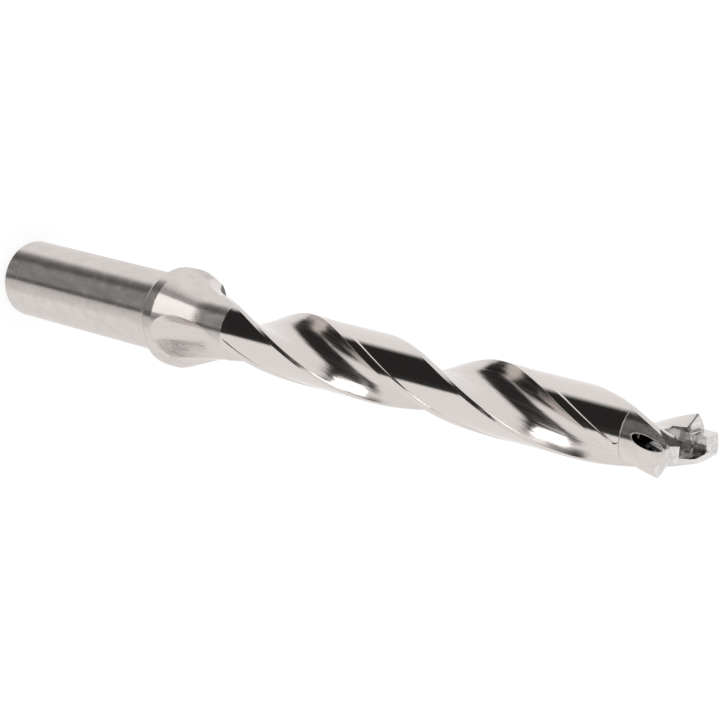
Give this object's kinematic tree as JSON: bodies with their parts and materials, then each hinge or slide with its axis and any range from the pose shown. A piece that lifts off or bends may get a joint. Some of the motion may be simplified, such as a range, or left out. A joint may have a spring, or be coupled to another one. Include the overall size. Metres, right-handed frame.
{
  "type": "indexable drill",
  "caption": "Steel body of an exchangeable-head drill with a round shank, a stop flange, helical flutes, a jawed pocket for the head and coolant outlets behind its seats.",
  "frame": {"origin": "centre of the shank's rear face, which it stands on", "axes": "+Z along the drill's axis from the shank to the tip; -Y faces the picture's camera"},
  "size_m": [0.02, 0.02, 0.1825],
  "materials": {
    "plated_steel": "polished nickel-plated steel"
  },
  "bodies": {
    "root": {"drill_body": "plated_steel"}
  },
  "joints": []
}
